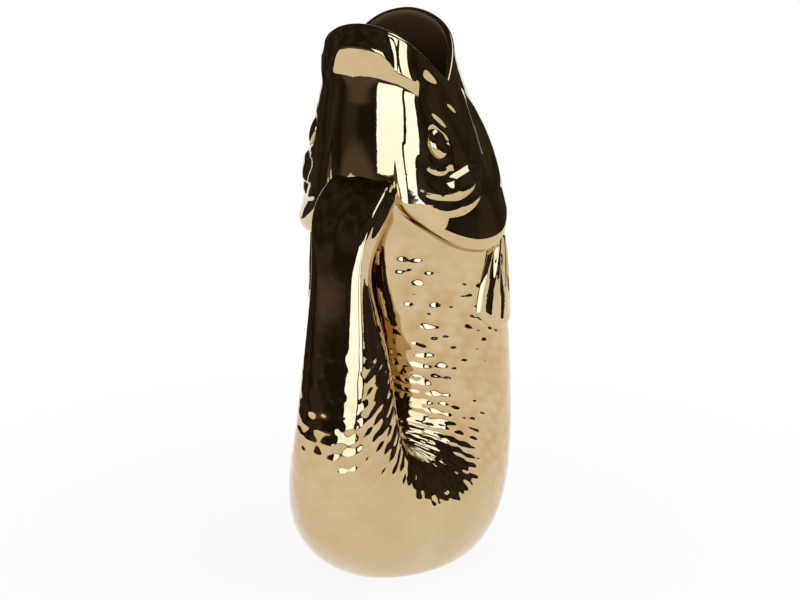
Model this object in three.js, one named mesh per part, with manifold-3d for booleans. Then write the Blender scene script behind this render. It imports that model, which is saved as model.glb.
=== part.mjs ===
// Fish-shaped carafe of gold-glazed ceramic, in millimetres, +Z up.
// The fish stands on its bent body with its open mouth as the spout, belly to +X.
// Its tail rises behind the back as the handle and leans on the neck.
import * as THREE from "three";
import { mergeVertices } from "three/addons/utils/BufferGeometryUtils.js";
import Module from "manifold-3d";

// Driving sizes
const HEIGHT = 297;
const TRUNK_DEPTH = 92;
const TRUNK_WIDTH = 105;
const FINGER_GAP = 34;
const TAIL_DEPTH = 10;
const TAIL_WIDTH = 33;
const MOUTH_WIDTH = 61;
const MOUTH_DEPTH = 62;
const WALL = 5;
const BASE_THICKNESS = 8;
const FOOT_ROUND = 3;
const FOOT_RECESS_RADIUS = 18;
const FOOT_RECESS_DEPTH = 1.2;
const LIP_ROLL = 5;
const BROW_LIFT = 8;
const KEEL_LIFT = 6;
const GILL_THICKNESS = 8;
const EYE_LENGTH = 15;
const EYE_WIDTH = 9;
const FIN_THICKNESS = 3.2;
const FIN_RAY_DEPTH = 0.8;
const LUTE_GAP = 0.3;
const PLATE_BED = 1;

// How finely the pieces are drawn
const AROUND = 40;
const HEAD_RINGS = 16;
const TRUNK_RINGS = 8;
const BEND_RINGS = 18;
const TAIL_RINGS = 12;
const FIN_RINGS = 10;
const FIN_AROUND = 20;
const GILL_RINGS = 7;
const GILL_AROUND = 26;

// Where the pieces meet, counted in stations from the mouth along the fish
const NECK = 4.5;
const BEND = 9;
const TAIL_ROOT = 14.5;
const TAIL_HOLLOW_END = 16.4;
const FIN_ROOT = 17.7;
const FIN_END = 20.6;
const LIP_TOP = 0.68;
const LIP_CREST = 0.42;
const JAW_TOP = 0.46;
const MOUTH_CORNER = 1.9;
const BROW_START = 2.4;
const KEEL_HOLD = 6;
const KEEL_FADE = 2;
const EYE_STATION = 3.2;
const GILL_STATION = NECK - 0.2;
const GILL_ABOVE = 0.75;
const GILL_BELOW = 1.2;
const FIN_START = NECK + 0.9;
const FIN_STOP = NECK + 2.6;
const FIN_TIP_ROUND = 0.35;
const FIN_RAYS = 5;

// Angles round the fish from the line of its back
const { degToRad } = THREE.MathUtils;
const CORNER_ANGLE = degToRad(84);
const BROW_ANGLE = degToRad(20);
const BROW_BLEND = degToRad(34);
const KEEL_ROUND = degToRad(4);
const KEEL_SPREAD = degToRad(58);
const LIP_FRONT = degToRad(22);
const LIP_SIDE = degToRad(52);
const LIP_END = degToRad(60);
const EYE_ANGLE = degToRad(51);
const GILL_ANGLE = degToRad(62);
const GILL_SPREAD = degToRad(39);
const FIN_ANGLE = degToRad(86);
const FIN_LEAN = degToRad(4);
const FIN_ROOT_SPREAD = degToRad(7);
const FIN_TIP_SPREAD = degToRad(20);

// Stations of the fish from the mouth to the tip of the tail
// Each row: x and height of the back line, x and height of the belly line, half width, squareness.
// The mouth and the tail are set by their own sizes, the rest by the trunk.
const BACK = -TRUNK_DEPTH / 2;
const BELLY = TRUNK_DEPTH / 2;
const INNER = BACK - FINGER_GAP;
const OUTER = INNER - TAIL_DEPTH;
const MOUTH = BACK - 11;
const HALF = TRUNK_WIDTH / 2;
const TAIL_HALF = TAIL_WIDTH / 2;
const MOUTH_HALF = MOUTH_WIDTH / 2;
const STATIONS = [
  [MOUTH - 1, 311, MOUTH + MOUTH_DEPTH - 3, 307, MOUTH_HALF, 0.18],
  [MOUTH, 289, MOUTH + MOUTH_DEPTH, 281, MOUTH_HALF, 0.18],
  [MOUTH, 267, BELLY - 28, 255, MOUTH_HALF + 2.5, 0.16],
  [MOUTH - 1, 244, BELLY - 12, 229, 0.81 * HALF, 0.12],
  [BACK - 9, 220, BELLY - 1, 203, 0.96 * HALF, 0.08],
  [BACK - 1, 196, BELLY, 178, 0.99 * HALF, -0.05],
  [BACK, 169, BELLY, 150, 1.015 * HALF, -0.12],
  [BACK, 142, BELLY + 0.5, 120, 1.035 * HALF, -0.06],
  [BACK, 117, BELLY + 1.5, 88, 1.05 * HALF, 0.03],
  [BACK - 1, 95, BELLY + 1.5, 50, 1.06 * HALF, 0.03],
  [BACK - 4, 82, BELLY - 5, 10, 1.055 * HALF, 0.03],
  [BACK - 7, 78, BELLY - 31, -13, 1.02 * HALF, 0.03],
  [INNER + 27, 78, OUTER + 59, -12, 0.93 * HALF, 0.03],
  [INNER + 24, 83, OUTER + 15, 6, 0.76 * HALF, 0.03],
  [INNER + 22, 95, OUTER - 12, 38, TAIL_HALF + 13.5, 0.04],
  [INNER + 23, 112, OUTER - 14, 80, TAIL_HALF + 6.5, 0.15],
  [INNER + 21, 133, OUTER - 7, 118, TAIL_HALF + 3.2, 0.3],
  [INNER + 9, 156, OUTER - 2, 150, TAIL_HALF + 0.8, 0.42],
  [INNER + 3, 176, OUTER, 180, TAIL_HALF - 2, 0.44],
  [INNER + 12, 191, OUTER + 4, 205, TAIL_HALF + 3, 0.36],
  [INNER + 24, 202, OUTER + 22, 217, TAIL_HALF + 4, 0.28],
  [INNER + 35, 208, OUTER + 38, 222, TAIL_HALF + 1.5, 0.2],
];
const DRAWN_HEIGHT = 297;
const RISE = HEIGHT / DRAWN_HEIGHT;

const { clamp, lerp, smoothstep } = THREE.MathUtils;
const wasm = await Module();
wasm.setup();

// Cubic blend of the four stations round t
function station(t) {
  const last = STATIONS.length - 1;
  const i = Math.floor(clamp(t, 0, last - 1e-6));
  const f = t - i;
  const weights = [
    (1 - f) ** 3,
    3 * f ** 3 - 6 * f ** 2 + 4,
    -3 * f ** 3 + 3 * f ** 2 + 3 * f + 1,
    f ** 3,
  ];
  return STATIONS[0].map((_, column) =>
    weights.reduce(
      (sum, w, k) => sum + (w / 6) * STATIONS[clamp(i - 1 + k, 0, last)][column],
      0,
    ),
  );
}

// A height that settles smoothly onto a floor
function settle(z, floor) {
  const over = z - floor;
  if (over > FOOT_ROUND) return z;
  if (over < -FOOT_ROUND) return floor;
  return floor + (over + FOOT_ROUND) ** 2 / (4 * FOOT_ROUND);
}

// The turn from the line of the back, the same on both sides
function turnOf(angle) {
  return Math.abs(angle > Math.PI ? angle - 2 * Math.PI : angle);
}

// How far the back stands out: a rounded brow on the head, a keel below it
function brow(t, angle) {
  const turn = turnOf(angle);
  const rise = clamp((t - BROW_START) / (NECK - BROW_START), 0, 1) ** 1.5;
  const fall = 1 - smoothstep(t, KEEL_HOLD, KEEL_HOLD + KEEL_FADE);
  const round = BROW_LIFT * (1 - smoothstep(turn, BROW_ANGLE, BROW_ANGLE + BROW_BLEND));
  const keel = KEEL_LIFT * clamp(1 - Math.hypot(turn, KEEL_ROUND) / KEEL_SPREAD, 0, 1);
  return rise * fall * lerp(round, keel, smoothstep(t, NECK, NECK + 1));
}

// A point of the skin: angle 0 on the back, pi on the belly, moved in by inset and resting on a floor
function skin(t, angle, inset = 0, floor = 0) {
  const [backX, backZ, bellyX, bellyZ, half, square] = station(t);
  const middle = new THREE.Vector2(backX + bellyX, backZ + bellyZ).multiplyScalar(0.5);
  const reach = new THREE.Vector2(bellyX - backX, bellyZ - backZ).multiplyScalar(0.5);
  const depth = reach.length();
  const along = -Math.cos(angle) * (1 + square * Math.sin(angle) ** 2) * (1 - inset / depth);
  const across = Math.sin(angle) * (1 + square * Math.cos(angle) ** 2) * (half - inset);
  return new THREE.Vector3(
    middle.x + reach.x * along - brow(t, angle),
    across,
    settle((middle.y + reach.y * along) * RISE, floor),
  );
}

// Where the rim of the mouth lies at an angle, highest at both lips and lowest at the corners
function rimStation(angle) {
  const turn = turnOf(angle);
  return turn < CORNER_ANGLE
    ? lerp(LIP_TOP, MOUTH_CORNER, (turn / CORNER_ANGLE) ** 1.8)
    : lerp(JAW_TOP, MOUTH_CORNER, ((Math.PI - turn) / (Math.PI - CORNER_ANGLE)) ** 1.7);
}

// How far the upper lip rolls out at an angle and a distance below the rim
function lipRoll(angle, below) {
  const turn = turnOf(angle);
  const side = smoothstep(turn, LIP_FRONT, LIP_SIDE);
  const fade = lerp(1, 0.3, side) * (1 - smoothstep(turn, LIP_END, CORNER_ANGLE));
  const crest = lerp(LIP_CREST, 0.25, side);
  const reach = lerp(below < crest ? 0.3 : 0.42, 0.2, side);
  return LIP_ROLL * fade * Math.exp(-(((below - crest) / reach) ** 2));
}

function ring(point) {
  return Array.from({ length: AROUND }, (_, j) => point((2 * Math.PI * j) / AROUND));
}

// Faces between a row of rings, closed into a loop or capped with a point at each end
function loft(rings, looped) {
  const around = rings[0].length;
  const points = rings.flat();
  const faces = [];
  const bands = looped ? rings.length : rings.length - 1;
  for (let i = 0; i < bands; i++) {
    const a = i * around;
    const b = ((i + 1) % rings.length) * around;
    for (let j = 0; j < around; j++) {
      const k = (j + 1) % around;
      faces.push(a + j, b + j, b + k, a + j, b + k, a + k);
    }
  }
  if (!looped) {
    const centres = [rings[0], rings.at(-1)].map((r) =>
      r.reduce((sum, p) => sum.add(p), new THREE.Vector3()).divideScalar(around),
    );
    points.push(...centres);
    const first = rings.length * around;
    const end = (rings.length - 1) * around;
    for (let j = 0; j < around; j++) {
      const k = (j + 1) % around;
      faces.push(first, j, k, first + 1, end + k, end + j);
    }
  }
  const geometry = new THREE.BufferGeometry().setFromPoints(points);
  geometry.setIndex(faces);
  return geometry;
}

function solid(geometry) {
  const bare = geometry.clone();
  bare.deleteAttribute("normal");
  bare.deleteAttribute("uv");
  const merged = mergeVertices(bare, 1e-3);
  return new wasm.Manifold(
    new wasm.Mesh({
      numProp: 3,
      vertProperties: merged.attributes.position.array,
      triVerts: new Uint32Array(merged.index.array),
    }),
  );
}

function geometryOf(made) {
  const mesh = made.getMesh();
  return new THREE.BufferGeometry()
    .setAttribute("position", new THREE.BufferAttribute(mesh.vertProperties, 3))
    .setIndex(new THREE.BufferAttribute(mesh.triVerts, 1));
}

function steps(from, to, count) {
  return Array.from({ length: count + 1 }, (_, i) => lerp(from, to, i / count));
}

// One ring of the head, from the neck at part 0 to the rim of the mouth at part 1
function headRing(part, inset, rise = 0) {
  return ring((angle) => {
    const rim = rimStation(angle);
    const t = lerp(NECK, rim, part);
    const point = skin(t, angle, inset);
    const roll = inset < WALL / 2 ? lipRoll(angle, t - rim) : 0;
    const out = skin(t, angle).sub(skin(t, angle, 1)).setZ(0).normalize();
    return point.addScaledVector(out, roll).setZ(point.z + rise);
  });
}

// The head: an open shell from the neck to the lips, with a rounded rim and a rolled upper lip
function headShell() {
  const parts = steps(0, 1, HEAD_RINGS);
  const outside = parts.map((part) => headRing(part, 0));
  const rim = headRing(1, WALL / 2 - 0.1, WALL / 3);
  const inside = parts.map((part) => headRing(part, WALL));
  return loft([...outside, rim, ...inside.reverse()], true);
}

// Stations of the body from the neck to the root of the tail
function bodySteps() {
  return [
    ...steps(NECK + LUTE_GAP / 24, BEND, TRUNK_RINGS).slice(0, -1),
    ...steps(BEND, TAIL_ROOT, BEND_RINGS),
  ];
}

// The trunk and its bent base as one open-ended shell with a flat foot
function bodyShell() {
  const outside = bodySteps().map((t) => ring((angle) => skin(t, angle)));
  const inside = bodySteps().map((t) => ring((angle) => skin(t, angle, WALL, BASE_THICKNESS)));
  const shell = solid(loft([...inside, ...outside.reverse()], true));
  const recess = new THREE.CylinderGeometry(
    FOOT_RECESS_RADIUS,
    FOOT_RECESS_RADIUS,
    2 * FOOT_RECESS_DEPTH,
    AROUND,
  );
  recess.rotateX(Math.PI / 2).translate(footCentre(), 0, 0);
  return geometryOf(shell.subtract(solid(recess)));
}

// The head and trunk as one solid grown by the luting gap, to seat the pieces that lie on them
function seatBlock() {
  const head = steps(1, 0, HEAD_RINGS).map((part) => headRing(part, -LUTE_GAP));
  const trunk = bodySteps()
    .slice(1, TRUNK_RINGS + 1)
    .map((t) => ring((angle) => skin(t, angle, -LUTE_GAP)));
  return solid(loft([...head, ...trunk].reverse(), false));
}

// Middle of the flat foot along X
function footCentre() {
  const flat = steps(NECK, TAIL_ROOT, 200)
    .map((t) => skin(t, Math.PI))
    .filter((p) => p.z < 1e-6)
    .map((p) => p.x);
  return (Math.min(...flat) + Math.max(...flat)) / 2;
}

// The tail: a hollow column, open to the body at its root and closed under the fin
function tailShell() {
  const start = TAIL_ROOT + LUTE_GAP / 24;
  const outside = steps(start, FIN_ROOT, TAIL_RINGS).map((t) => ring((angle) => skin(t, angle)));
  const inside = steps(start, TAIL_HOLLOW_END, TAIL_RINGS - 4).map((t) =>
    ring((angle) => skin(t, angle, WALL)),
  );
  return loft([...outside.reverse(), ...inside], false);
}

// The tail fin: a ribbed end that curls over and rests against the neck
function tailFin(seat) {
  const start = FIN_ROOT + LUTE_GAP / 30;
  const rings = steps(start, FIN_END, FIN_RINGS).map((t, i) => {
    const ribs = FIN_RAY_DEPTH * Math.min(1, i / 3);
    return ring((angle) => skin(t, angle, ribs * (1 - Math.cos(10 * angle)) * 0.5));
  });
  return geometryOf(solid(loft(rings.reverse(), false)).subtract(seat));
}

// A point lifted off the skin along its outward direction
function lifted(t, angle, lift) {
  const d = 1e-3;
  const down = skin(t + d, angle).sub(skin(t - d, angle));
  const round = skin(t, angle + d).sub(skin(t, angle - d));
  return skin(t, angle).addScaledVector(round.cross(down).normalize(), lift);
}

// The gill cover: a flap that rises from behind the eye to a thick free edge below the neck
function gillCover(side, seat) {
  const disc = (r, lift) =>
    Array.from({ length: GILL_AROUND }, (_, j) => {
      const turn = (side * 2 * Math.PI * j) / GILL_AROUND;
      const rear = Math.sin(turn);
      const reach = rear > 0 ? GILL_BELOW * rear : GILL_ABOVE;
      const t = GILL_STATION + r * reach * rear;
      const angle = side * (GILL_ANGLE + GILL_SPREAD * r * Math.cos(turn));
      return lifted(t, angle, lift(0.5 + 0.5 * r * rear));
    });
  const shares = steps(1 / GILL_RINGS, 1, GILL_RINGS - 1);
  const over = shares.map((r) => {
    const round = 1 - 0.7 * r ** 8;
    return disc(r, (part) => LUTE_GAP + GILL_THICKNESS * lerp(0.15, 1, part ** 1.6) * round);
  });
  const under = shares.map((r) => disc(r, () => -PLATE_BED));
  return geometryOf(solid(loft([...over, ...under.reverse()], false)).subtract(seat));
}

// The pectoral fin: a ribbed fan that comes from under the gill cover and widens down the flank
function pectoralFin(side, seat) {
  const across = steps(-1, 1, FIN_AROUND);
  const rings = steps(0, 1, FIN_RINGS).map((along) => {
    const t = lerp(FIN_START, FIN_STOP, along);
    const half = lerp(FIN_ROOT_SPREAD, FIN_TIP_SPREAD, Math.sin((along * Math.PI) / 2));
    const taper = 1 - 0.65 * along ** 2;
    const point = (share, lift) => {
      const sweep = FIN_TIP_ROUND * along * share ** 2;
      return lifted(t - sweep, side * (FIN_ANGLE - FIN_LEAN * along + half * share), lift);
    };
    const over = across.map((share) => {
      const groove = FIN_RAY_DEPTH * Math.cos(FIN_RAYS * Math.PI * share) ** 2;
      const edge = 1 - 0.5 * share ** 4;
      return point(share, LUTE_GAP + FIN_THICKNESS * taper * edge - groove * along);
    });
    const under = across.map((share) => point(share, -PLATE_BED)).reverse();
    return side > 0 ? [...over, ...under] : [...over, ...under].reverse();
  });
  return geometryOf(solid(loft(rings.reverse(), false)).subtract(seat));
}

// An eye: a long dome set into the side of the head
function eye(side, seat) {
  const place = skin(EYE_STATION, side * EYE_ANGLE);
  const dome = new THREE.SphereGeometry(0.5, 16, 12);
  dome.scale(EYE_WIDTH, EYE_WIDTH, EYE_LENGTH);
  dome.translate(place.x, place.y, place.z);
  return geometryOf(solid(dome).subtract(seat));
}

const gold = new THREE.MeshStandardMaterial({ color: 0xd9b871, metalness: 1, roughness: 0.12 });
const carafe = new THREE.Group();

function add(name, geometry) {
  const mesh = new THREE.Mesh(geometry, gold);
  mesh.name = name;
  carafe.add(mesh);
}

const seat = seatBlock();
add("head", headShell());
add("body", bodyShell());
add("tail", tailShell());
add("tail_fin", tailFin(seat));
for (const [name, side] of [
  ["right", -1],
  ["left", 1],
]) {
  add("gill_cover_" + name, gillCover(side, seat));
  add("pectoral_fin_" + name, pectoralFin(side, seat));
  add("eye_" + name, eye(side, seat));
}

// The origin is the bottom centre of the whole carafe
const box = new THREE.Box3().setFromObject(carafe);
const centre = box.getCenter(new THREE.Vector3());
carafe.traverse((node) => {
  if (node.isMesh) node.geometry.translate(-centre.x, -centre.y, -box.min.z);
});

export default carafe;
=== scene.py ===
"""Looks of a fish-shaped carafe in gold lustre that stands on a white table."""

import math

import bmesh
import bpy
import numpy as np
from mathutils import Matrix, Vector


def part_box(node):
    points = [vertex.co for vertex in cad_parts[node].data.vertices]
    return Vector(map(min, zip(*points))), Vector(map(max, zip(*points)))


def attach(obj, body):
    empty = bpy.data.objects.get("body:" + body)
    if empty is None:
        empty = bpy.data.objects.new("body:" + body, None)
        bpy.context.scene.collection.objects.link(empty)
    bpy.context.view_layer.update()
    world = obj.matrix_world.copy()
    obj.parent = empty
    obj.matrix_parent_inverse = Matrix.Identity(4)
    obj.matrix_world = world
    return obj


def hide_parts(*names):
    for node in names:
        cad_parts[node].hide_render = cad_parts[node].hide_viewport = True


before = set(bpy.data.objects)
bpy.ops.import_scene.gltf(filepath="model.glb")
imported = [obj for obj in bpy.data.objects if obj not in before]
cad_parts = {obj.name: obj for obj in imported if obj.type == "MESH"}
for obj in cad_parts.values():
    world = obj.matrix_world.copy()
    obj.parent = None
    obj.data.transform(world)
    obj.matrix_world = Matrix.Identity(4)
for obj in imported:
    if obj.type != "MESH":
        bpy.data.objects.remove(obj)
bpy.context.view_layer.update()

# Sizes of the fish in millimetres
TRUNK_DEPTH = 92
TRUNK_WIDTH = 105
FINGER_GAP = 34
TAIL_DEPTH = 10
TAIL_WIDTH = 33
MOUTH_WIDTH = 61
MOUTH_DEPTH = 62
WALL = 5
RIM_THICKNESS = 3.6
BASE_THICKNESS = 8
FOOT_ROUND = 3
FOOT_RECESS_RADIUS = 18
FOOT_RECESS_DEPTH = 1.2
FOOT_RECESS_EDGE = 2
LIP_ROLL = 5
BROW_LIFT = 8
KEEL_LIFT = 6
GILL_LIFT = 8
GILL_BED = 1.2
FOLD_HEIGHT = 1.25
EYE_LENGTH = 14
EYE_WIDTH = 9
EYE_DOME = 2.8
EYE_SINK = 1.2
LID_HEIGHT = 0.2
SOCKET_DEPTH = 0.7
NOSTRIL_LENGTH = 5
NOSTRIL_DEPTH = 1.3
FIN_THICKNESS = 3.2
FIN_RAY_DEPTH = 2.9
TAIL_RAY_DEPTH = 1.1
FLAP_THICKNESS = 0.8
TAIL_ROOT_SWELL = 1.6
SCALE_HEIGHT = 0.42
TRUNK_SCALE_PITCH = 6.2
TAIL_SCALE_PITCH = 6
GLAZE_POOL = 22
GLAZE_PEEL = 4

# Size of the cheek in millimetres: one station down, one degree round, and half a gill cover
CHEEK_STATION = 25
CHEEK_DEGREE = 0.72
GILL_HALF = 30

# Where the features lie, counted in stations from the mouth along the fish
NECK = 4.5
TAIL_ROOT = 14.5
FIN_ROOT = 17.7
FIN_END = 20.6
LIP_TOP = 0.68
JAW_TOP = 0.46
MOUTH_CORNER = 1.9
BROW_START = 2.4
KEEL_HOLD = 6
KEEL_FADE = 2
EYE_STATION = 3.2
GILL_STATION = 4.3
GILL_ABOVE = 0.85
GILL_BELOW = 0.92
GILL_RISE = 1.4
GILL_ROUND = 0.36
BAR_STATION = 4.02
FIN_START = 5.25
FIN_STOP = 7.1
FIN_TIP_ROUND = 0.3
TAIL_SCALES_START = 13.2
SCALES_END_BACK = 14.7
SCALES_END_BELLY = 15.2

# Angles round the fish in degrees from the line of its back
CORNER_ANGLE = 84
BROW_ANGLE = 20
BROW_BLEND = 34
KEEL_SPREAD = 58
KEEL_ROUND = 4
EYE_ANGLE = 51
GILL_ANGLE = 62
GILL_SPREAD = 42
FOLD_ANGLE = 46
BAR_ANGLE = 47
NOSTRIL_LEAN = 35
JAW_LINE_SPREAD = 4.5
FIN_ANGLE = 86
FIN_LEAN = 4
FIN_ROOT_SPREAD = 7
FIN_TIP_SPREAD = 20

# Half size of an eye as a share of its socket
EYE_SHARE = 0.58

# Scales in one row round the trunk and the tail, and rays round the tail fin
TRUNK_SCALES = 42
TAIL_SCALES = 20
TAIL_RAYS = 8

# How far a scale may lie out of its place along and across the rows, how much it may tilt, its least strength
# and how much that varies, and the width of its dome
SCALE_STRAY = (0.35, 0.4)
SCALE_TILT = 0.8
SCALE_STRENGTH = (0.55, 0.9)
SCALE_DOME = 0.44

# Roll of the upper lip at its front, at its sides and on the slanted faces between them: share of the full
# roll, then its crest below the rim and its reach above and under the crest in stations
LIP_FRONT = (1, 0.42, 0.3, 0.42)
LIP_SIDE = (0.3, 0.25, 0.2, 0.2)
LIP_FACE = (0.3, 0.75, 0.6, 0.25)

# Angles at which the lip's side starts and how far it blends in, the same for the lip's end, and the angles of
# its face with the softness of their ends
LIP_SIDE_TURN = (22, 30)
LIP_END_TURN = (60, 24)
LIP_FACE_TURN = (23, 50, 14)

# Folds of a gill cover: share of the full height, station and softness of the lower edge, bend, and the
# angles between which a fold runs with the softness of its ends
FOLDS = (
    (1.0, 4.71, 0.12, 0.00065, (36, 70, 10)),
    (1.0, 4.39, 0.09, 0.00065, (39, 79, 10)),
    (0.6, 3.86, 0.09, 0.0022, (41, 50, 7)),
)

# The raised bar across the folds: share of the full height, slant, fall behind its crest, angles as for a fold
BAR_SHARE = 1.9
BAR_SLANT = 0.0144
BAR_FALL = 0.85
BAR_REACH = (50, 70, 12)

# Nostrils: station, angle and half width
NOSTRILS = ((2.77, 57, 2), (2.52, 75, 2.2))

# Lines of the jaw: height, first and last station with the softness of the ends, stations and angles passed
JAW_LINES = (
    (1.3, (2.1, 3.9, 0.4), (2.0, 2.6, 3.2, 3.9), (98, 91, 85, 80)),
    (1.5, (2.3, 4.2, 0.5), (2.2, 2.9, 3.45, 4.1, 4.6), (105, 108, 105, 93, 78)),
)

# Stations of the fish from the mouth to the tip of the tail
# Each row: x and height of the back line, x and height of the belly line, half width, squareness.
BACK = -TRUNK_DEPTH / 2
BELLY = TRUNK_DEPTH / 2
INNER = BACK - FINGER_GAP
OUTER = INNER - TAIL_DEPTH
MOUTH = BACK - 11
HALF = TRUNK_WIDTH / 2
TAIL_HALF = TAIL_WIDTH / 2
MOUTH_HALF = MOUTH_WIDTH / 2
STATIONS = np.array([
    [MOUTH - 1, 311, MOUTH + MOUTH_DEPTH - 3, 307, MOUTH_HALF, 0.18],
    [MOUTH, 289, MOUTH + MOUTH_DEPTH, 281, MOUTH_HALF, 0.18],
    [MOUTH, 267, BELLY - 28, 255, MOUTH_HALF + 2.5, 0.16],
    [MOUTH - 1, 244, BELLY - 12, 229, 0.81 * HALF, 0.12],
    [BACK - 9, 220, BELLY - 1, 203, 0.96 * HALF, 0.08],
    [BACK - 1, 196, BELLY, 178, 0.99 * HALF, -0.05],
    [BACK, 169, BELLY, 150, 1.015 * HALF, -0.12],
    [BACK, 142, BELLY + 0.5, 120, 1.035 * HALF, -0.06],
    [BACK, 117, BELLY + 1.5, 88, 1.05 * HALF, 0.03],
    [BACK - 1, 95, BELLY + 1.5, 50, 1.06 * HALF, 0.03],
    [BACK - 4, 82, BELLY - 5, 10, 1.055 * HALF, 0.03],
    [BACK - 7, 78, BELLY - 31, -13, 1.02 * HALF, 0.03],
    [INNER + 27, 78, OUTER + 59, -12, 0.93 * HALF, 0.03],
    [INNER + 24, 83, OUTER + 15, 6, 0.76 * HALF, 0.03],
    [INNER + 22, 95, OUTER - 12, 38, TAIL_HALF + 13.5, 0.04],
    [INNER + 23, 112, OUTER - 14, 80, TAIL_HALF + 7.2, 0.15],
    [INNER + 21, 133, OUTER - 7, 118, TAIL_HALF + 3.9, 0.3],
    [INNER + 9, 156, OUTER - 2, 150, TAIL_HALF + 0.6, 0.34],
    [INNER + 3, 176, OUTER, 180, TAIL_HALF - 2.6, 0.38],
    [INNER + 12, 191, OUTER + 4, 205, TAIL_HALF + 3, 0.36],
    [INNER + 24, 202, OUTER + 22, 217, TAIL_HALF + 4, 0.28],
    [INNER + 35, 208, OUTER + 38, 222, TAIL_HALF + 1.5, 0.2],
])

# Shares of a hollow piece's rows at which its outside, its rim or root and its inside end
HEAD_OUTSIDE, HEAD_RIM, HEAD_INSIDE = 0.76, 0.83, 0.985
BODY_OUTSIDE, BODY_ROOT, BODY_INSIDE = 0.89, 0.9, 0.99

# Shares of the rows between which the inside is bare of lustre
HEAD_BARE = 0.815, 0.98
BODY_BARE = 0.905, 0.98
LUSTRE_EDGE = 0.02


def smooth(x):
    """A soft step from 0 to 1."""
    x = np.clip(x, 0, 1)
    return x * x * (3 - 2 * x)


def bell(x):
    return np.exp(-x * x)


def mix(a, b, share):
    return a + (b - a) * share


def step(x, start, blend):
    """A soft step that begins at a start."""
    return smooth((x - start) / blend)


def window(x, low, high, soft):
    """1 between two ends, with soft steps."""
    return smooth((x - low) / soft + 0.5) * (1 - smooth((x - high) / soft + 0.5))


def turn_of(angle):
    """Degrees from the line of the back, the same on both flanks."""
    return np.abs((np.degrees(angle) + 180) % 360 - 180)


def station(t):
    """Cubic blend of the four stations round t."""
    last = len(STATIONS) - 1
    i = np.floor(np.clip(t, 0, last - 1e-6)).astype(int)
    f = (t - i)[..., None]
    weights = (1 - f) ** 3, 3 * f**3 - 6 * f**2 + 4, -3 * f**3 + 3 * f**2 + 3 * f + 1, f**3
    rows = [w / 6 * STATIONS[np.clip(i - 1 + k, 0, last)] for k, w in enumerate(weights)]
    return np.moveaxis(sum(rows), -1, 0)


def settle(z, floor):
    """A height that settles smoothly onto a floor."""
    over = np.clip(z - floor, -FOOT_ROUND, FOOT_ROUND)
    return np.where(z - floor > FOOT_ROUND, z, floor + (over + FOOT_ROUND) ** 2 / (4 * FOOT_ROUND))


def brow(t, angle):
    """How far the back stands out: a rounded brow on the head, a keel below it."""
    turn = turn_of(angle)
    rise = np.clip((t - BROW_START) / (NECK - BROW_START), 0, 1) ** 1.5
    fall = 1 - step(t, KEEL_HOLD, KEEL_FADE)
    round_brow = BROW_LIFT * (1 - step(turn, BROW_ANGLE, BROW_BLEND))
    keel = KEEL_LIFT * np.clip(1 - np.hypot(turn, KEEL_ROUND) / KEEL_SPREAD, 0, 1)
    return rise * fall * mix(round_brow, keel, smooth(t - NECK))


def skin(t, angle, inset=0.0, floor=0.0):
    """Points of the smooth skin: angle 0 on the back, pi on the belly."""
    back_x, back_z, belly_x, belly_z, half, square = station(t)
    depth = np.hypot(belly_x - back_x, belly_z - back_z) / 2
    along = -np.cos(angle) * (1 + square * np.sin(angle) ** 2) * (1 - inset / depth)
    across = np.sin(angle) * (1 + square * np.cos(angle) ** 2) * (half - inset)
    x = (back_x + belly_x) / 2 + (belly_x - back_x) / 2 * along - brow(t, angle)
    z = (back_z + belly_z) / 2 + (belly_z - back_z) / 2 * along
    return np.stack([x, across, settle(z, floor)], -1)


def unit(v):
    return v / (np.linalg.norm(v, axis=-1, keepdims=True) + 1e-12)


def outward(t, angle):
    """Directions that point straight out of the smooth skin."""
    d = 1e-3
    along = skin(t + d, angle) - skin(t - d, angle)
    across = skin(t, angle + d) - skin(t, angle - d)
    return unit(np.cross(across, along))


def lifted(t, angle, height):
    return skin(t, angle) + outward(t, angle) * np.asarray(height)[..., None]


# Relief of the head


def rim_station(angle):
    """Where the rim of the mouth lies, highest at both lips and lowest at the corners."""
    turn = turn_of(angle)
    upper = mix(LIP_TOP, MOUTH_CORNER, np.clip(turn / CORNER_ANGLE, 0, 1) ** 1.8)
    lower = mix(JAW_TOP, MOUTH_CORNER, np.clip((180 - turn) / (180 - CORNER_ANGLE), 0, 1) ** 1.7)
    return np.where(turn < CORNER_ANGLE, upper, lower)


def lip_roll(angle, below):
    """How far the upper lip rolls out at a distance below the rim."""
    turn = turn_of(angle)
    side = step(turn, *LIP_SIDE_TURN)
    face = window(turn, *LIP_FACE_TURN)
    share, crest, above, under = (
        mix(mix(in_front, at_side, side), on_face, face)
        for in_front, at_side, on_face in zip(LIP_FRONT, LIP_SIDE, LIP_FACE)
    )
    fade = share * (1 - step(turn, *LIP_END_TURN))
    return LIP_ROLL * fade * bell((below - crest) / np.where(below < crest, above, under))


def gill_share(angle):
    """-1 and 1 at the ends of a gill cover, 0 in its middle."""
    return (turn_of(angle) - GILL_ANGLE) / GILL_SPREAD


def gill_front(angle):
    return GILL_STATION - GILL_ABOVE * np.sqrt(np.maximum(0, 1 - gill_share(angle) ** 2))


def gill_edge(angle):
    return GILL_STATION + GILL_BELOW * np.maximum(0, 1 - gill_share(angle) ** 2)


def plate(t, edge, soft):
    """Rises slowly to 1 and falls off quickly at its lower edge."""
    return smooth((t - edge + 0.38) / 0.3) * (1 - smooth((t - edge) / soft + 0.5))


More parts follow.
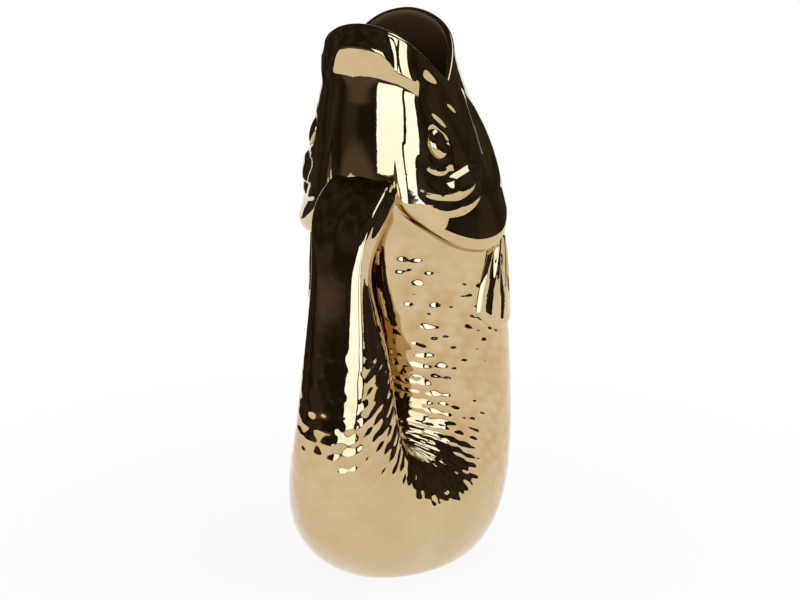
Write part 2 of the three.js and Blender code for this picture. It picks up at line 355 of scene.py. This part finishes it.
def cheek_folds(t, angle):
    """Curved folds behind the eye, each a plate with a rounded lower edge, and a raised bar across them."""
    turn = turn_of(angle)
    folds = sum(
        share * plate(t + bend * (turn - FOLD_ANGLE) ** 2, edge, soft) * window(turn, *reach)
        for share, edge, soft, bend, reach in FOLDS
    )
    behind = t - BAR_STATION + BAR_SLANT * (turn - BAR_ANGLE)
    ramp = (np.clip(behind / 0.12 + 0.5, 0, 1) + smooth(behind / 0.14 + 0.5)) / 2
    bar = ramp * (1 - step(behind, 0.06, BAR_FALL)) * window(turn, *BAR_REACH)
    return FOLD_HEIGHT * (folds + BAR_SHARE * bar)


def gill_height(t, angle):
    """How far a gill cover stands out of the skin, most at its free edge."""
    share = np.clip(gill_share(angle), -1, 1)
    side = np.cos(np.pi / 2 * share) ** 0.75
    edge = gill_edge(angle)
    rise = np.clip((t - edge) / GILL_RISE + 1, 0, 1) ** 1.5
    over = np.clip((t - edge) / GILL_ROUND, 0, 1)
    return (GILL_LIFT * side * rise + cheek_folds(t, angle)) * np.sqrt(1 - over**2)


def spot(t, angle, at, turn, length, width, lean=0.0):
    """Squared distance from a feature of the cheek in units of its own length and width."""
    down = (t - at) * CHEEK_STATION
    across = (turn_of(angle) - turn) * CHEEK_DEGREE
    c, s = math.cos(math.radians(lean)), math.sin(math.radians(lean))
    return ((down * c + across * s) / length) ** 2 + ((across * c - down * s) / width) ** 2


def head_relief(t, angle):
    """Eye sockets, lids, nostrils and jaw lines of the head."""
    turn = turn_of(angle)
    socket = np.sqrt(spot(t, angle, EYE_STATION, EYE_ANGLE, EYE_LENGTH / 2, EYE_WIDTH / 2))
    relief = LID_HEIGHT * bell((socket - 1.7) / 0.3) * step(turn, 45, 8)
    relief -= SOCKET_DEPTH * bell((socket - 1.1) / 0.22)
    for at, away, width in NOSTRILS:
        dent = spot(t, angle, at, away, NOSTRIL_LENGTH, width, NOSTRIL_LEAN)
        relief -= NOSTRIL_DEPTH * bell(dent**0.75)
    for height, reach, stations, turns in JAW_LINES:
        beside = turn - np.interp(t, stations, turns)
        relief += height * bell(beside / JAW_LINE_SPREAD) * window(t, *reach)
    return relief


def head_height(t, angle):
    """Relief of the head, which sinks a little where a gill cover lies on it."""
    down = (t - gill_front(angle)) * CHEEK_STATION
    inside = np.minimum(down, (1 - np.abs(gill_share(angle))) * GILL_HALF)
    return gill_height(t, angle) + head_relief(t, angle) - GILL_BED * step(inside, 4, 6)


def head_outside(part, angle):
    """The head from the neck at part 0 to the rim of the mouth at part 1."""
    rim = rim_station(angle)
    t = mix(NECK, rim, part)
    out = outward(t, angle)
    level = unit(out * (1, 1, 0))
    roll = lip_roll(angle, t - rim)
    return skin(t, angle) + out * head_height(t, angle)[..., None] + level * roll[..., None]


def head_inside(part, angle):
    rim = rim_station(angle)
    t = mix(NECK, rim, part)
    near = step(part, 0.6, 0.4)
    wall = mix(WALL, RIM_THICKNESS, near)
    lip = head_outside(np.ones_like(part), angle) - skin(rim, angle)
    return skin(t, angle) - outward(t, angle) * wall[..., None] + lip * (near**3)[..., None]


def head_rim(part, angle):
    """The rounded rim, from its outside over the top to its inside."""
    one = np.ones_like(part)
    outer = head_outside(one, angle)
    inner = head_inside(one, angle)
    middle = (outer + inner) / 2
    rim = rim_station(angle)
    up = unit(skin(rim - 0.01, angle) - skin(rim, angle))
    swing = np.pi * part
    rise = np.linalg.norm(outer - inner, axis=-1) / 2 * np.sin(swing)
    return middle + (outer - middle) * np.cos(swing)[..., None] + up * rise[..., None]


# Relief of the trunk and the tail


def chance(i, j):
    """A repeatable random number from 0 to 1 for each scale."""
    value = np.sin(i * 12.9898 + j * 78.233) * 43758.5453
    return value - np.floor(value)


def scale_lattice(rows, angle, count):
    """Staggered rows of domed scales, about 0 to 1 high, each a little out of place and tilted."""
    stray_along, stray_across = SCALE_STRAY
    least, spread = SCALE_STRENGTH
    columns = (angle / (2 * np.pi) % 1) * count
    total = np.zeros_like(rows)
    for ahead in (-1, 0, 1):
        i = np.floor(rows) + ahead
        shift = 0.5 * (i % 2)
        for side in (-1, 0, 1):
            j = np.floor(columns - shift) + side
            across = columns - shift - j - 0.5 + stray_across * (chance(i + 3, j % count) - 0.5)
            along = rows - i - 0.5 + stray_along * (chance(i + 5, j % count) - 0.5)
            strength = least + spread * chance(i, j % count)
            tilt = 1 + SCALE_TILT * (chance(i + 7, j % count) - 0.5) * across
            total += strength * tilt * bell(np.hypot(across, along) / SCALE_DOME)
    return total


# Length of the flank from the neck, counted in rows of scales
flank_t = np.linspace(NECK - 0.2, FIN_END, 1600)
flank = skin(flank_t, np.full_like(flank_t, np.pi / 2))
flank_steps = np.linalg.norm(np.diff(flank, axis=0), axis=1)
pitch = mix(TRUNK_SCALE_PITCH, TAIL_SCALE_PITCH, step(flank_t[1:], 12, 3))
flank_rows = np.concatenate([[0], np.cumsum(flank_steps / pitch)])


def scales(t, angle):
    """Domes of the scales and how strongly they show, less near the gills, the ridge and the tail fin."""
    turn = turn_of(angle)
    rows = np.interp(t, flank_t, flank_rows)
    on_tail = step(t, TAIL_SCALES_START, 1.2)
    trunk = scale_lattice(rows, angle, TRUNK_SCALES) * (1 - on_tail)
    tail = 0.9 * scale_lattice(rows + 0.37, angle, TAIL_SCALES) * on_tail
    past = t - mix(SCALES_END_BACK, SCALES_END_BELLY, step(turn, 112, 20))
    fade = 1 - 0.6 * smooth(past) - 0.4 * step(past, 0.7, 1.3)
    ridge = mix(step(turn, 13, 12), 1, step(t, 8.5, 2))
    return trunk + tail, step(t - gill_edge(angle), 0.25, 0.9) * fade * ridge


def scale_height(t, angle):
    """Relief of the scales, softest on the upper flanks and near the foot."""
    domes, show = scales(t, angle)
    foot = mix(0.12, 1, step(skin(t, angle)[..., 2], 18, 40))
    flanks = mix(mix(1, 0.45, step(turn_of(angle), 30, 14)), 1, step(t, 8, 1.5))
    return SCALE_HEIGHT * domes * show * foot * flanks


def swell(t, angle):
    """The flanks of the tail's root swell a little and slim upwards."""
    lengthwise = step(t, TAIL_SCALES_START, 1.4) * (1 - step(t, 14.8, 1.6))
    return TAIL_ROOT_SWELL * lengthwise * window(turn_of(angle), 58, 100, 30)


def hollow(t, angle):
    """Mask of the painted shade: 1 in the hollows between scales, 0 on the domes and where there are no
    scales, fading out towards the foot.
    """
    domes, show = scales(t, angle)
    low = mix(12, 40, step(t, 9.5, 2))
    return (1 - smooth(domes / 0.9)) * show * step(skin(t, angle)[..., 2], low, 65)


def foot_recess(points):
    """Lifts the middle of the flat foot into a shallow round recess."""
    points[:, 2] = np.maximum(points[:, 2], 0)
    flat = points[:, 0][points[:, 2] < 1e-6]
    centre = (flat.min() + flat.max()) / 2
    reach = np.hypot(points[:, 0] - centre, points[:, 1])
    rise = FOOT_RECESS_DEPTH * smooth((FOOT_RECESS_RADIUS - reach) / FOOT_RECESS_EDGE)
    points[:, 2] += np.where(points[:, 2] < 0.5, rise, 0)
    return points


# The drawn fish stands in the frame with its belly where the frame's body has it
belly = skin(np.linspace(NECK, TAIL_ROOT, 400), np.full(400, np.pi))
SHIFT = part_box("body")[1].x * 1000 - belly[:, 0].max()


def to_frame(points):
    return (points + (SHIFT, 0, 0)) / 1000


# Gold lustre


def linear(hex_colour):
    """An sRGB hex colour as linear RGBA."""
    values = [int(hex_colour[i : i + 2], 16) / 255 for i in (1, 3, 5)]
    values = [c / 12.92 if c <= 0.04045 else ((c + 0.055) / 1.055) ** 2.4 for c in values]
    return (*values, 1)


def node(tree, kind, settings=None, links=None):
    """Adds a node, sets its properties, inputs or ramp, and links sockets into it.

    An input goes by its name or its number.
    """
    made = tree.nodes.new(kind)
    for name, value in (settings or {}).items():
        if name == "ramp":
            for element, (position, colour) in zip(made.color_ramp.elements, value):
                element.position = position
                element.color = linear(colour)
        elif isinstance(name, int) or name in made.inputs:
            made.inputs[name].default_value = value
        else:
            setattr(made, name, value)
    for name, socket in (links or {}).items():
        tree.links.new(socket, made.inputs[name])
    return made


def new_material(name):
    material = bpy.data.materials.new(name)
    material.use_nodes = True
    tree = material.node_tree
    tree.nodes.clear()
    return material, tree


def make_gold_lustre():
    """Bright gold lustre fired over brown glazed stoneware, which is bare on the inside.

    The film of metal mirrors its surroundings, a little deeper in tone where the glaze pooled. In the hollows
    between the scales it is painted a darker, warmer gold, which is painted shade.
    """
    material, tree = new_material("gold_lustre_on_stoneware")
    place = node(tree, "ShaderNodeTexCoord")
    mapping = node(tree, "ShaderNodeMapping", {}, {"Vector": place.outputs["Object"]})
    vector = mapping.outputs["Vector"]
    pool = node(tree, "ShaderNodeTexNoise", {"Scale": 1000 / GLAZE_POOL, "Detail": 3.0}, {"Vector": vector})
    tint = node(
        tree,
        "ShaderNodeValToRGB",
        {"ramp": ((0.3, "#C9B084"), (0.7, "#D2BB92"))},
        {"Fac": pool.outputs["Fac"]},
    )
    # Painted shade: a darker, warmer gold is painted into the hollows between the scales
    painted_shade = node(tree, "ShaderNodeAttribute", {"attribute_name": "hollow"})
    tone = node(
        tree,
        "ShaderNodeMix",
        {"data_type": "RGBA", 7: linear("#C4A571")},
        {"Factor": painted_shade.outputs["Fac"], 6: tint.outputs["Color"]},
    )
    bare = node(tree, "ShaderNodeAttribute", {"attribute_name": "bare"})
    colour = node(
        tree,
        "ShaderNodeMix",
        {"data_type": "RGBA", 7: linear("#4A3623")},
        {"Factor": bare.outputs["Fac"], 6: tone.outputs[2]},
    )
    metal = node(
        tree,
        "ShaderNodeMapRange",
        {"To Min": 1.0, "To Max": 0.0},
        {"Value": bare.outputs["Fac"]},
    )
    gloss = node(
        tree,
        "ShaderNodeMapRange",
        {"To Min": 0.02, "To Max": 0.045},
        {"Value": pool.outputs["Fac"]},
    )
    peel = node(tree, "ShaderNodeTexNoise", {"Scale": 1000 / GLAZE_PEEL, "Detail": 1.0}, {"Vector": vector})
    bump = node(
        tree,
        "ShaderNodeBump",
        {"Strength": 0.12, "Distance": 0.0002},
        {"Height": peel.outputs["Fac"]},
    )
    shader = node(
        tree,
        "ShaderNodeBsdfPrincipled",
        {},
        {
            "Base Color": colour.outputs[2],
            "Metallic": metal.outputs["Result"],
            "Roughness": gloss.outputs["Result"],
            "Normal": bump.outputs["Normal"],
        },
    )
    node(tree, "ShaderNodeOutputMaterial", {}, {"Surface": shader.outputs["BSDF"]})
    return material


gold_lustre = make_gold_lustre()

# Making of a piece


def along_stages(u, angle, stages):
    """Places each share u of the way on the stage it falls in."""
    points = np.empty(u.shape + (3,))
    start = 0.0
    for end, place in stages:
        here = (u >= start) & (u <= end)
        points[here] = place((u[here] - start) / (end - start), angle[here])
        start = end
    return points


def across(start, end, at):
    """A face of the wall between two surfaces, at one share of both."""
    return lambda part, a: mix(start(0 * a + at, a), end(0 * a + at, a), part[..., None])


def finish_piece(bm, name, node):
    """Turns a bmesh into a smooth piece that takes the place of a node."""
    bmesh.ops.remove_doubles(bm, verts=bm.verts, dist=2e-6)
    bmesh.ops.dissolve_degenerate(bm, edges=bm.edges, dist=1e-6)
    bmesh.ops.recalc_face_normals(bm, faces=bm.faces)
    mesh = bpy.data.meshes.new(name)
    bm.to_mesh(mesh)
    bm.free()
    mesh.shade_smooth()
    mesh.set_sharp_from_angle(angle=math.radians(35))
    piece = bpy.data.objects.new(name, mesh)
    bpy.context.collection.objects.link(piece)
    mesh.materials.append(gold_lustre)
    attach(piece, "root")
    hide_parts(node)


def grid(rows, columns, place, **attributes):
    """A grid whose points and attributes are placed by their shares of the rows and columns."""
    bm = bmesh.new()
    bmesh.ops.create_grid(bm, x_segments=columns, y_segments=rows, size=1)
    share = np.array([v.co[:2] for v in bm.verts]) / 2 + 0.5
    u, v = share[:, 1], share[:, 0]
    layers = {name: bm.verts.layers.float.new(name) for name in attributes}
    values = {name: attributes[name](u, v) for name in attributes}
    for i, (vertex, point) in enumerate(zip(bm.verts, to_frame(place(u, v)))):
        vertex.co = point
        for name, layer in layers.items():
            vertex[layer] = values[name][i]
    return bm


def thick_patch(rows, columns, place, side):
    """A patch on one flank with a back face a little way inside the skin."""
    bm = grid(rows, columns, place)
    top = list(bm.faces)
    bmesh.ops.recalc_face_normals(bm, faces=top)
    if sum(face.normal.y for face in top) * side < 0:
        bmesh.ops.reverse_faces(bm, faces=top)
    bm.normal_update()
    made = bmesh.ops.extrude_face_region(bm, geom=top)["geom"]
    new = [g for g in made if isinstance(g, bmesh.types.BMVert)]
    bm.normal_update()
    for vertex in new:
        vertex.co -= vertex.normal * FLAP_THICKNESS / 1000
    return bm


def centre_of(surface, part):
    angle = np.linspace(0, 2 * np.pi, 120, endpoint=False)
    return surface(np.full_like(angle, part), angle).mean(0)


def capped(surface, rows):
    """A closed piece: a surface with a fan of faces at each end."""
    first, last = centre_of(surface, 0), centre_of(surface, 1)

    def place(u, v):
        row = np.round(u * rows)
        points = surface(np.clip((row - 1) / (rows - 2), 0, 1), 2 * np.pi * v)
        points[row < 1] = first
        points[row > rows - 1] = last
        return points

    return place


# Pieces


def head_place(u, v):
    return along_stages(u, 2 * np.pi * v, [
        (HEAD_OUTSIDE, head_outside),
        (HEAD_RIM, head_rim),
        (HEAD_INSIDE, lambda part, a: head_inside(1 - part, a)),
        (1.0, across(head_inside, head_outside, 0.0)),
    ])


def head_bare(u, v):
    """1 on the inside of the head, where the lustre ends at the rim."""
    start, stop = HEAD_BARE
    return step(u, start, LUSTRE_EDGE) * (u < stop)


def body_outside(part, angle):
    t = mix(NECK, TAIL_ROOT, part)
    return lifted(t, angle, scale_height(t, angle) + swell(t, angle))


def body_inside(part, angle):
    return skin(mix(NECK, TAIL_ROOT, part), angle, WALL, BASE_THICKNESS)


def body_place(u, v):
    points = along_stages(u, 2 * np.pi * v, [
        (BODY_OUTSIDE, body_outside),
        (BODY_ROOT, across(body_outside, body_inside, 1.0)),
        (BODY_INSIDE, lambda part, a: body_inside(1 - part, a)),
        (1.0, across(body_inside, body_outside, 0.0)),
    ])
    return foot_recess(points)


# Painted shade between the scales, on the outside of the body only
def body_hollow(u, v):
    t = mix(NECK, TAIL_ROOT, np.minimum(u / BODY_OUTSIDE, 1))
    return hollow(t, 2 * np.pi * v) * (u <= BODY_OUTSIDE)


def body_bare(u, v):
    """1 on the inside of the body."""
    start, stop = BODY_BARE
    return 1.0 * (u > start) * (u < stop)


def tail_outside(part, angle):
    t = mix(TAIL_ROOT, FIN_ROOT, part)
    return lifted(t, angle, scale_height(t, angle) + swell(t, angle))


# Painted shade between the scales of the tail
def tail_hollow(u, v):
    return hollow(mix(TAIL_ROOT, FIN_ROOT, u), 2 * np.pi * v)


def tail_fin_outside(part, angle):
    """The tail fin, with rays that deepen towards its rounded end."""
    t = mix(FIN_ROOT, FIN_END, part)
    rays = step(t, FIN_ROOT, 1.6) * (0.5 - 0.5 * np.cos(TAIL_RAYS * angle))
    return lifted(t, angle, -TAIL_RAY_DEPTH * rays)


def gill_place(side):
    """A gill cover, which lies a hair above the head and dips under it at its edges."""

    def place(u, v):
        turn = np.radians(GILL_ANGLE + GILL_SPREAD * (2 * v - 1) * 0.995)
        angle = side * turn
        t = mix(gill_front(angle), gill_edge(angle) + GILL_ROUND, u)
        rim = np.minimum(u, np.minimum(v, 1 - v))
        sink = 0.01 - 0.04 * step(rim, 0.01, 0.06) + 0.6 * step(u, 0.985, 0.015)
        return lifted(t, angle, gill_height(t, angle) + head_relief(t, angle) * (t < NECK) - sink)

    return place


def fin_place(side):
    """A pectoral fin, which widens to a rounded tip and has three deep rays."""

    def place(u, v):
        share = 2 * v - 1
        half = mix(FIN_ROOT_SPREAD, FIN_TIP_SPREAD, np.sin(u * np.pi / 2))
        t = mix(FIN_START, FIN_STOP, u) - FIN_TIP_ROUND * u * share**2
        angle = side * np.radians(FIN_ANGLE - FIN_LEAN * u + half * share)
        waves = (0.5 + 0.5 * np.cos(2 * np.pi * share / 0.62)) ** 1.5
        rays = FIN_RAY_DEPTH * waves * smooth(u / 0.2) * np.clip(1 - u / 0.88, 0, 1)
        body = FIN_THICKNESS * (1 - 0.2 * u**2) * (1 - 0.45 * share**4)
        rim = np.minimum(1 - u, np.minimum(v, 1 - v) * 1.2)
        sink = (body + 0.6) * (1 - np.sqrt(np.clip(rim / 0.07, 0, 1)))
        return lifted(t, angle, body - rays - sink)

    return place


def add_eye(name, side):
    """A domed eye that is tilted a little sideways and up in its socket."""
    t = np.array([EYE_STATION])
    angle = np.array([side * math.radians(EYE_ANGLE)])
    out = Vector(unit(outward(t, angle)[0] + (0, 0.22 * side, 0.2)))
    place = Vector(to_frame(lifted(t, angle, np.array([-EYE_SINK])))[0])
    along = Vector((skin(t + 0.01, angle) - skin(t - 0.01, angle))[0])
    across = out.cross(along).normalized()
    down = across.cross(out)
    bm = bmesh.new()
    bmesh.ops.create_uvsphere(bm, u_segments=64, v_segments=40, radius=0.001)
    sizes = Matrix.Diagonal((EYE_WIDTH * EYE_SHARE, EYE_LENGTH * EYE_SHARE, EYE_DOME, 1))
    turned = Matrix((across, down, out)).transposed().to_4x4()
    bmesh.ops.transform(bm, matrix=Matrix.Translation(place) @ turned @ sizes, verts=bm.verts)
    finish_piece(bm, "eye_dome_" + name, "eye_" + name)


# The body and the tail carry the mask of the painted shade between their scales
finish_piece(grid(240, 396, head_place, bare=head_bare), "fish_head", "head")
finish_piece(grid(300, 330, body_place, hollow=body_hollow, bare=body_bare), "fish_body", "body")
finish_piece(grid(130, 330, capped(tail_outside, 130), hollow=tail_hollow), "fish_tail", "tail")
finish_piece(grid(140, 330, capped(tail_fin_outside, 140)), "fish_tail_fin", "tail_fin")
for name, side in (("right", -1), ("left", 1)):
    finish_piece(thick_patch(150, 150, gill_place(side), side), "gill_" + name, "gill_cover_" + name)
    finish_piece(thick_patch(110, 120, fin_place(side), side), "fin_" + name, "pectoral_fin_" + name)
    add_eye(name, side)

# White table that ends a little way in front of the carafe, and a dark room in front of it
# Sizes are in metres, but the aim is a point of the fish in millimetres.
# Azimuths go round from the right flank, below 0 towards the tail.
VIEW_AZIMUTH = -65
VIEW_ELEVATION = 17
CAMERA_AWAY = 1.5
LENS = 128.6
AIM = (-25.0, 0.0, 150.0)
AIM_RIGHT = 0.0055
AIM_UP = -0.00525
TABLE_RADIUS = 1.6
TABLE_EDGES = ((-85, 0.6), (50, 0.63), (180, 0.45))
ROOM_RADIUS = 4.0
ROOM_PATCHES_PER_METRE = 0.7
PANEL = (-120, -24)
OPENING_HALF = 26
OPENING_TOP = 14

# Softboxes: azimuth, elevation, how far away, height of the aim, width, length, power in watts
SOFTBOXES = {
    "softbox_left": (-79, 0, 0.9, 0.14, 0.635, 0.36, 1.95),
    "softbox_right": (-43.8, 0, 0.9, 0.185, 0.344, 0.31, 0.93),
    "softbox_top": (5, 52, 1.7, 0.2, 1.5, 0.7, 8),
}


def heading(azimuth, elevation=0.0):
    a, e = math.radians(azimuth), math.radians(elevation)
    return Vector((math.sin(a) * math.cos(e), -math.cos(a) * math.cos(e), math.sin(e)))


def add_object(name, data):
    made = bpy.data.objects.new(name, data)
    bpy.context.collection.objects.link(made)
    return made


def stage_object(name, bm, material):
    mesh = bpy.data.meshes.new(name)
    bm.to_mesh(mesh)
    bm.free()
    made = add_object(name, mesh)
    mesh.materials.append(material)
    return made


def seen_directly(tree):
    """1 on rays from the camera, in reflections and through glass."""
    seen = node(tree, "ShaderNodeLightPath").outputs
    first = node(
        tree,
        "ShaderNodeMath",
        {"operation": "MAXIMUM"},
        {0: seen["Is Camera Ray"], 1: seen["Is Glossy Ray"]},
    )
    second = node(
        tree,
        "ShaderNodeMath",
        {"operation": "MAXIMUM"},
        {0: first.outputs[0], 1: seen["Is Transmission Ray"]},
    )
    return second.outputs[0]


def make_table():
    """Matt white table top: plain white, with the carafe's soft shadow close to its foot."""
    material, tree = new_material("white_table_top")
    place = node(tree, "ShaderNodeTexCoord")
    reach = node(tree, "ShaderNodeVectorMath", {"operation": "LENGTH"}, {0: place.outputs["Object"]})
    far = node(
        tree,
        "ShaderNodeMapRange",
        {"From Min": 0.12, "From Max": 0.4, "To Min": 0.9, "interpolation_type": "SMOOTHSTEP"},
        {"Value": reach.outputs["Value"]},
    )
    share = node(
        tree,
        "ShaderNodeMath",
        {"operation": "MULTIPLY"},
        {0: seen_directly(tree), 1: far.outputs["Result"]},
    )
    shade = node(tree, "ShaderNodeBsdfDiffuse", {"Color": linear("#F2F2F2")})
    white = node(tree, "ShaderNodeEmission", {"Strength": 1.0})
    both = node(
        tree,
        "ShaderNodeMixShader",
        {},
        {0: share.outputs[0], 1: shade.outputs[0], 2: white.outputs[0]},
    )
    node(tree, "ShaderNodeOutputMaterial", {}, {"Surface": both.outputs[0]})
    bm = bmesh.new()
    bmesh.ops.create_circle(bm, cap_ends=True, segments=96, radius=TABLE_RADIUS)
    for azimuth, away in TABLE_EDGES:
        bmesh.ops.bisect_plane(
            bm,
            geom=[*bm.verts, *bm.edges, *bm.faces],
            plane_co=heading(azimuth) * away,
            plane_no=heading(azimuth),
            clear_outer=True,
        )
    stage_object("table", bm, material)


def make_dark_room():
    """Dark surroundings for the reflections, open behind the carafe."""
    material, tree = new_material("dark_room")
    place = node(tree, "ShaderNodeTexCoord").outputs["Object"]
    patches = node(
        tree,
        "ShaderNodeTexNoise",
        {"Scale": ROOM_PATCHES_PER_METRE, "Detail": 1.0},
        {"Vector": place},
    )
    tones = node(
        tree,
        "ShaderNodeValToRGB",
        {"ramp": ((0.35, "#231F1C"), (0.65, "#3A342F"))},
        {"Fac": patches.outputs["Fac"]},
    )
    toward = node(
        tree,
        "ShaderNodeVectorMath",
        {"operation": "DOT_PRODUCT", 1: heading(*PANEL) / ROOM_RADIUS},
        {0: place},
    )
    panel = node(
        tree,
        "ShaderNodeMapRange",
        {"From Min": 0.92, "From Max": 0.96, "interpolation_type": "SMOOTHSTEP"},
        {"Value": toward.outputs["Value"]},
    )
    wall = node(
        tree,
        "ShaderNodeMix",
        {"data_type": "RGBA", 7: linear("#5A524E")},
        {"Factor": panel.outputs["Result"], 6: tones.outputs["Color"]},
    )
    shade = node(tree, "ShaderNodeEmission", {"Strength": 1.0}, {"Color": wall.outputs[2]})
    node(tree, "ShaderNodeOutputMaterial", {}, {"Surface": shade.outputs[0]})
    bm = bmesh.new()
    bmesh.ops.create_uvsphere(bm, u_segments=72, v_segments=36, radius=ROOM_RADIUS)
    behind = -heading(VIEW_AZIMUTH)
    beside = math.cos(math.radians(OPENING_HALF))
    top = ROOM_RADIUS * math.sin(math.radians(OPENING_TOP))
    opened = []
    for face in bm.faces:
        middle = face.calc_center_median()
        level = Vector((middle.x, middle.y, 0)).normalized()
        if level.dot(behind) > beside and middle.z < top:
            opened.append(face)
    bmesh.ops.delete(bm, geom=opened, context="FACES")
    room = stage_object("dark_room", bm, material)
    room.visible_camera = False
    room.visible_diffuse = False
    room.visible_shadow = False
    room.visible_transmission = False


def add_softbox(name, azimuth, elevation, away, height, width, length, power):
    """A softbox that faces a point above the table from some way off."""
    lamp = bpy.data.lights.new(name, "AREA")
    lamp.shape = "RECTANGLE"
    lamp.size = width
    lamp.size_y = length
    lamp.energy = power
    lamp.color = linear("#CFE3FF")[:3]
    made = add_object(name, lamp)
    made.location = heading(azimuth, elevation) * away + Vector((0, 0, height))
    made.rotation_euler = heading(azimuth, elevation).to_track_quat("Z", "Y").to_euler()
    made.visible_camera = False


def make_world():
    """Soft white light from all round, plain white where it is seen directly."""
    world = bpy.data.worlds.new("studio")
    world.use_nodes = True
    tree = world.node_tree
    tree.nodes.clear()
    strength = node(
        tree,
        "ShaderNodeMapRange",
        {"To Min": 0.7, "To Max": 1.0},
        {"Value": seen_directly(tree)},
    )
    sky = node(
        tree,
        "ShaderNodeBackground",
        {"Color": linear("#FFFFFF")},
        {"Strength": strength.outputs["Result"]},
    )
    node(tree, "ShaderNodeOutputWorld", {}, {"Surface": sky.outputs[0]})
    bpy.context.scene.world = world


def add_camera():
    camera = bpy.data.cameras.new("camera")
    camera.lens = LENS
    camera.sensor_width = 36
    made = add_object("camera", camera)
    back = heading(VIEW_AZIMUTH, VIEW_ELEVATION)
    right = heading(VIEW_AZIMUTH + 90)
    up = back.cross(right)
    aim = Vector(to_frame(np.array(AIM))) + right * AIM_RIGHT + up * AIM_UP
    made.location = aim + back * CAMERA_AWAY
    made.rotation_euler = back.to_track_quat("Z", "Y").to_euler()
    bpy.context.scene.camera = made


make_table()
make_dark_room()
for name, settings in SOFTBOXES.items():
    add_softbox(name, *settings)
make_world()
add_camera()
bpy.context.scene.view_settings.view_transform = "Standard"
